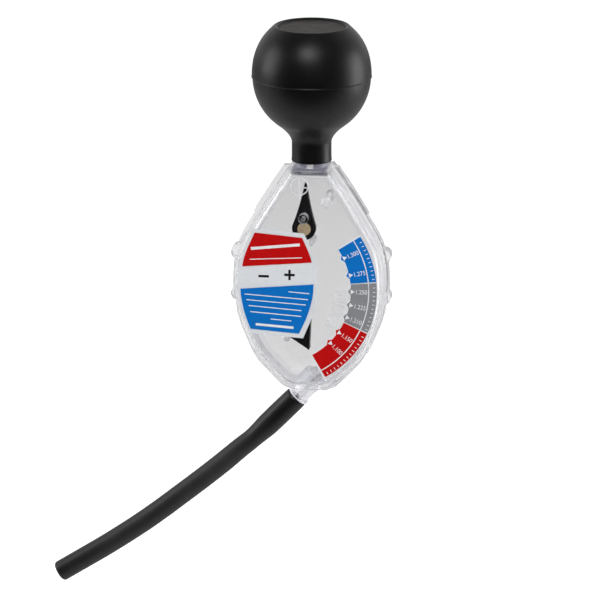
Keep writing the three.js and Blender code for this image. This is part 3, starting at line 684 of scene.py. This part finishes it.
def inked(name, parts, finish):
    """One piece from several plates of ink, as points and faces each."""
    starts = np.cumsum([0] + [len(points) for points, _ in parts])
    faces = [
        [i + start for i in face] for (_, plates), start in zip(parts, starts) for face in plates
    ]
    mesh = bpy.data.meshes.new(name)
    mesh.from_pydata(np.concatenate([points for points, _ in parts]).tolist(), [], faces)
    made = finish_mesh(name, mesh)
    finish.give(made)
    return made


plumb = moulded("plumb_pointer", "level_pendulum")
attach(plumb, "pendulum")
black_plastic.give(plumb)
brass.give(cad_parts["pendulum_weight"])
steel.give(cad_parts["pendulum_pin"])

white_paint = Finish("white_paint", specular=0.1)
brushed = white_paint.noise(800.0, 3.0)
white_paint.set(
    base_color=white_paint.mix(brushed.between(0.3, 0.7), (0.78, 0.78, 0.79), (0.70, 0.70, 0.71)),
    roughness=brushed * 0.2 + 0.4,
)
paint = rule(
    (PLUMB_X - PAINT_HALF_WIDTH, PAINT_Z), (PLUMB_X + PAINT_HALF_WIDTH, PAINT_Z), PAINT_HEIGHT
)
tip_line = inked("tip_line", [prism(paint, PLUMB_FACE)], white_paint)
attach(tip_line, "pendulum")


# Label. A white vinyl card with a red and a blue panel, stuck on the flat of the dial. It has
# plain rules, given by their ends' x and z in a row, and the two signs of a battery's poles.
PANEL_FACE = -0.01025
CARD_FACE = -0.010
PANEL_THICK = 0.00025
BLUE_PANEL = MM * np.array([
    (-30.9, -96.8),
    (2.3, -93.6),
    (2.1, -97.5),
    (1.7, -100.3),
    (0.9, -103.6),
    (-0.1, -106.9),
    (-1.3, -110.2),
    (-2.6, -113.1),
    (-4.3, -116.7),
    (-26.3, -115.2),
    (-27.5, -112.2),
    (-28.5, -109.2),
    (-29.4, -106.4),
    (-30.0, -103.4),
    (-30.5, -100.6),
])
BLUE_RULES = MM * np.array([
    (-9.0, -97.35, 0.4, -97.9),
    (-28.9, -99.1, -0.2, -100.7),
    (-28.1, -101.7, -1.2, -103.2),
    (-27.1, -104.4, -3.2, -105.9),
    (-26.4, -107.2, -3.3, -108.6),
    (-17.1, -110.3, -7.7, -110.9),
])
BLUE_RULE_THICK = 0.0004
BLUE_BAR = MM * np.array([-23.9, -112.97, -6.75, -114.0])
BLUE_BAR_THICK = 0.0011
RED_RULES = MM * np.array([
    (-26.0, -77.9, -3.9, -75.4),
    (-26.6, -82.9, -2.9, -81.4),
])
RED_RULE_THICKS = (0.0013, 0.0004)
SIGN_CENTRES = MM * np.array([(-20.3, -90.6), (-8.6, -89.6)])
SIGN_REACH = 0.0024
SIGN_THICK = 0.0011


def printed(name, color, worn):
    """Ink on satin vinyl: a colour with a faint unevenness of the print."""
    finish = Finish(name, specular=0.08)
    patches = finish.noise(300.0, 3.0)
    finish.set(
        base_color=finish.mix(patches.between(0.3, 0.7), color, worn),
        roughness=patches * 0.12 + 0.42,
        normal=finish.bump(finish.noise(2500.0, 2.0), 0.05, 0.0001),
    )
    return finish


card_ink = printed("card_ink", (0.66, 0.68, 0.71), (0.69, 0.71, 0.735))
red_ink = printed("red_ink", (0.50, 0.0015, 0.002), (0.45, 0.0012, 0.0017))
blue_ink = printed("blue_ink", (0.001, 0.150, 0.52), (0.001, 0.140, 0.48))
white_ink = printed("white_ink", (0.78, 0.79, 0.80), (0.72, 0.73, 0.75))
black_ink = printed("black_ink", (0.006, 0.006, 0.006), (0.010, 0.010, 0.010))
card_ink.give(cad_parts["label_card"])
red_ink.give(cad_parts["label_panel_red"])
blue_panel = inked("blue_panel", [prism(BLUE_PANEL, CARD_FACE, PANEL_THICK)], blue_ink)
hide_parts("label_panel_blue")
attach(blue_panel, "housing")

lines = [
    *((line, BLUE_RULE_THICK) for line in BLUE_RULES),
    (BLUE_BAR, BLUE_BAR_THICK),
    *zip(RED_RULES, RED_RULE_THICKS),
]
rules = inked("panel_rules", [
    prism(rule(line[:2], line[2:], thick), PANEL_FACE) for line, thick in lines
], white_ink)
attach(rules, "housing")

minus_at, plus_at = SIGN_CENTRES
across = np.array([SIGN_REACH, 0])
upright = np.array([0, SIGN_REACH])
stub = np.array([0, SIGN_THICK / 2])
signs = inked("pole_signs", [
    prism(rule(minus_at - across, minus_at + across, SIGN_THICK), CARD_FACE),
    prism(rule(plus_at - across, plus_at + across, SIGN_THICK), CARD_FACE),
    prism(rule(plus_at + stub, plus_at + upright, SIGN_THICK), CARD_FACE),
    prism(rule(plus_at - upright, plus_at - stub, SIGN_THICK), CARD_FACE),
], black_ink)
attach(signs, "housing")


# Scale. Three zones of coloured vinyl with a white edge, and on them the specific gravity readings,
# an arrowhead at each, a dividing line and a fine graduation. Angles are in degrees from +X.
PIVOT = np.array([-0.0159, -0.0962])
ZONE_FACE = -0.010
EDGE_FRONT = -0.00979
EDGE_BACK = -0.00976
SCALE_R = 0.0467
SCALE_INNER_R = 0.035
TOOTH_TIP_R = 0.0337
TOOTH_HALF_WIDTH = 0.0017
WHITE_EDGE = 0.0004
SCALE_FROM = -60.2
SCALE_TO = 33.3
ZONE_LIMITS = (-60.2, -24.4, 5.5, 33.3)
ZONE_GAP = 0.0006
READINGS = {
    "1.300": 25.5, "1.275": 12.1, "1.250": -0.3, "1.225": -10.5, "1.210": -20.1,
    "1.150": -33.1, "1.100": -43.3,
}
NUMBER_START = 0.0374
NUMBER_LENGTH = 0.0050
NUMBER_HEIGHT = 0.0020
ARROW_BASE_R = 0.03495
ARROW_TIP_R = 0.0368
ARROW_HALF_WIDTH = 0.0011
DIVIDER_R = 0.0431
DIVIDER_WIDTH = 0.00045
TICK_R = 0.0450
TICK_LENGTH = 0.0011
TICK_WIDTH = 0.0003
TICK_STEP = 2.5
TICK_INSET = 0.4
EDGE_COLUMNS = 900
SWEEP_POINTS = 40
SWEEP_RUNS = 8


def polar(radius, angle):
    """Points (x, z) round the float's axle: the axle's place plus radius times (cos t, sin t)."""
    turn = np.radians(angle)
    return PIVOT + np.stack([radius * np.cos(turn), radius * np.sin(turn)], axis=-1)


def band(inner, outer, angles):
    """The outline of a band between two radii, out along one and back along the other."""
    return np.vstack([polar(inner, angles), polar(outer, angles)[::-1]])


def figures(text):
    """A number as faces with its left foot at (0, 0), scaled to the length and height that the
    scale's numbers have, and which points are in front. The curve is made a mesh first."""
    curve = bpy.data.curves.new(text, "FONT")
    curve.body = text
    curve.extrude = INK
    shown = bpy.data.objects.new(text, curve)
    bpy.context.scene.collection.objects.link(shown)
    graph = bpy.context.evaluated_depsgraph_get()
    mesh = bpy.data.meshes.new_from_object(shown.evaluated_get(graph))
    bpy.data.objects.remove(shown)
    points = np.empty(3 * len(mesh.vertices))
    mesh.vertices.foreach_get("co", points)
    points = points.reshape(-1, 3)
    low, high = points.min(axis=0), points.max(axis=0)
    scaled = (points[:, :2] - low[:2]) / (high - low)[:2] * [NUMBER_LENGTH, NUMBER_HEIGHT]
    faces = [list(face.vertices) for face in mesh.polygons]
    front = points[:, 2] > 0
    bpy.data.meshes.remove(mesh)
    return scaled, front, faces


def reading(text, angle):
    """A number written outwards along the radius at an angle, as a plate of ink."""
    scaled, front, faces = figures(text)
    turn = np.radians(angle)
    out = np.array([np.cos(turn), np.sin(turn)])
    rise = np.array([-out[1], out[0]])
    flat = (
        PIVOT + (NUMBER_START + scaled[:, :1]) * out + (scaled[:, 1:] - NUMBER_HEIGHT / 2) * rise
    )
    return np.insert(flat, 1, np.where(front, ZONE_FACE - INK, ZONE_FACE), axis=1), faces


grey_ink = printed("grey_ink", (0.215, 0.22, 0.235), (0.235, 0.24, 0.255))
red_ink.give(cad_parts["scale_zone_red"])
blue_ink.give(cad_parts["scale_zone_blue"])
grey_ink.give(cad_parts["scale_zone_grey"])

# The white edge follows the zones and their teeth: the inner radius dips by a triangle at each
# reading.
edge_turn = np.degrees(WHITE_EDGE / SCALE_INNER_R)
edge_angles = np.linspace(SCALE_FROM - edge_turn, SCALE_TO + edge_turn, EDGE_COLUMNS)
away = np.abs(edge_angles[:, None] - np.array(list(READINGS.values()))).min(axis=1)
tooth = np.clip(1 - np.radians(away) * SCALE_INNER_R / (TOOTH_HALF_WIDTH + WHITE_EDGE), 0, 1)
edge_inner = SCALE_INNER_R - WHITE_EDGE - tooth * (SCALE_INNER_R - TOOTH_TIP_R + WHITE_EDGE / 2)
edge_outer = np.full_like(edge_inner, SCALE_R + WHITE_EDGE)
edge_grid = np.stack([
    np.insert(polar(radius, edge_angles), 1, depth, axis=1) for radius, depth in (
        (edge_inner, EDGE_FRONT), (edge_outer, EDGE_FRONT),
        (edge_outer, EDGE_BACK), (edge_inner, EDGE_BACK),
    )
])
ends = edge_grid[:, [0, -1]].mean(axis=0, keepdims=True).repeat(4, axis=0)
edge_grid = np.concatenate([ends[:, :1], edge_grid, ends[:, 1:]], axis=1)
white_edge = grid_surface("scale_edge", edge_grid, wrap_rows=True)
white_ink.give(white_edge)
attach(white_edge, "housing")

marks = [reading(text, angle) for text, angle in READINGS.items()]
for angle in READINGS.values():
    spread = np.degrees(ARROW_HALF_WIDTH / ARROW_BASE_R)
    marks.append(prism(polar(
        np.array([ARROW_BASE_R, ARROW_TIP_R, ARROW_BASE_R]), angle + np.array([-spread, 0, spread])
    ), ZONE_FACE))

# Each zone's dividing line is made in short runs that share their ends, so that no plate is curved
# so far that its face folds over when it is cut into triangles. The graduation keeps clear of a
# zone's ends.
half_gap = np.degrees(ZONE_GAP / 2 / DIVIDER_R)
divider_radii = DIVIDER_R - DIVIDER_WIDTH / 2, DIVIDER_R + DIVIDER_WIDTH / 2
for low, high in zip(ZONE_LIMITS[:-1], ZONE_LIMITS[1:]):
    sweep = np.linspace(low + half_gap, high - half_gap, SWEEP_POINTS)
    for run in np.array_split(np.arange(SWEEP_POINTS), SWEEP_RUNS):
        marks.append(prism(band(*divider_radii, sweep[run[0]:run[-1] + 2]), ZONE_FACE))
    first = np.ceil(low / TICK_STEP + TICK_INSET)
    last = np.floor(high / TICK_STEP - TICK_INSET)
    for angle in np.arange(first, last + 1) * TICK_STEP:
        start, end = polar(np.array([TICK_R, TICK_R + TICK_LENGTH]), np.array([angle, angle]))
        marks.append(prism(rule(start, end, TICK_WIDTH), ZONE_FACE))
scale_marks = inked("scale_marks", marks, white_ink)
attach(scale_marks, "housing")


# Studio. A plain pale floor far below the hose, white to the camera and bright through the clear
# plastic, except straight in front of the dial, where the black parts would mirror it. Five soft
# boxes, and a pale world that is darker in front of the dial.
FLOOR_HEIGHT = -0.5
FLOOR_REACH = 8.0
FLOOR_COLOR = (0.8, 0.8, 0.8)
FLOOR_MIRRORED = (0.05, 0.05, 0.05)
FLOOR_GLOW = 0.76
THROUGH_GLOW = 0.5
BEHIND = (0.0, 0.9)
BESIDE = (0.45, 0.85)
FAR_IN_FRONT = (-0.7, -0.15)
LAMP_AIM = (0, 0, -0.08)
REFLECTED_LEVELS = (0.04, 0.8)
THROUGH_LEVELS = (0.7, 0.87)
FRONT_TO_BACK = (-0.3, 0.8)

floor_mesh = bpy.data.meshes.new("floor")
floor_mesh.from_pydata([
    (x * FLOOR_REACH, y * FLOOR_REACH, FLOOR_HEIGHT)
    for x, y in ((-1, -1), (1, -1), (1, 1), (-1, 1))
], [], [(0, 1, 2, 3)])
floor = bpy.data.objects.new("floor", floor_mesh)
bpy.context.scene.collection.objects.link(floor)
floor_paint = Finish("floor_paint", roughness=0.9, specular=0.0)
floor_y = floor_paint.axis(floor_paint.place, "Y")
mirrored_in_front = floor_paint.ray("Glossy") * (1 - floor_y.between(*FAR_IN_FRONT))
floor_paint.set(base_color=floor_paint.mix(mirrored_in_front, FLOOR_COLOR, FLOOR_MIRRORED))
beside = abs(floor_paint.axis(floor_paint.place, "X")).between(*BESIDE)
glow_through = (floor_y.between(*BEHIND) | beside) * THROUGH_GLOW
seen = floor_paint.ray("Camera") * FLOOR_GLOW | floor_paint.ray("Transmission") * glow_through
glow = floor_paint.node("ShaderNodeEmission", {}, {"Color": (1, 1, 1), "Strength": seen})
floor_paint.show(floor_paint.node("ShaderNodeAddShader", {}, (floor_paint.surface, glow)))
floor_paint.give(floor)


def soft_box(name, place, size, power, mirrored=True):
    """A flat lamp that faces the bulb and the dial. One that isn't mirrored adds no highlight."""
    lamp = bpy.data.objects.new(name, bpy.data.lights.new(name, "AREA"))
    lamp.data.shape = "RECTANGLE"
    lamp.data.size, lamp.data.size_y = size
    lamp.data.energy = power
    lamp.location = place
    aim = Vector(LAMP_AIM) - Vector(place)
    lamp.rotation_euler = aim.to_track_quat("-Z", "Y").to_euler()
    lamp.visible_glossy = mirrored
    lamp.visible_transmission = False
    bpy.context.scene.collection.objects.link(lamp)


soft_box("left_box", (-1.4, -0.15, 0.3), (0.75, 0.9), 9.5)
soft_box("right_box", (1.36, 0.34, 0.0), (0.75, 0.9), 12.0)
soft_box("front_box", (0.0, -1.1, 1.1), (0.6, 0.45), 11.0)
soft_box("fill_box", (0.3, -1.6, 0.3), (1.4, 1.4), 9.5, mirrored=False)
soft_box("back_box", (-0.3, 1.6, 0.5), (1.4, 1.4), 3.5, mirrored=False)

world = bpy.data.worlds.new("studio")
bpy.context.scene.world = world
world.use_nodes = True
sky = Nodes(world.node_tree)
direction = sky.node("ShaderNodeTexCoord", output="Generated")
to_back = sky.axis(direction, "Y").between(*FRONT_TO_BACK)
reflected, through = (
    to_back * (back - front) + front for front, back in (REFLECTED_LEVELS, THROUGH_LEVELS)
)
unseen = sky.node("ShaderNodeMix", {}, {0: sky.ray("Transmission"), 2: reflected, 3: through})
strength = sky.node("ShaderNodeMix", {}, {0: sky.ray("Camera"), 2: unseen, 3: 1.0})
background = world.node_tree.nodes["Background"]
sky.feed(background.inputs["Strength"], strength)
sky.feed(background.inputs["Color"], (1, 1, 1))

bpy.context.scene.view_settings.view_transform = "Standard"
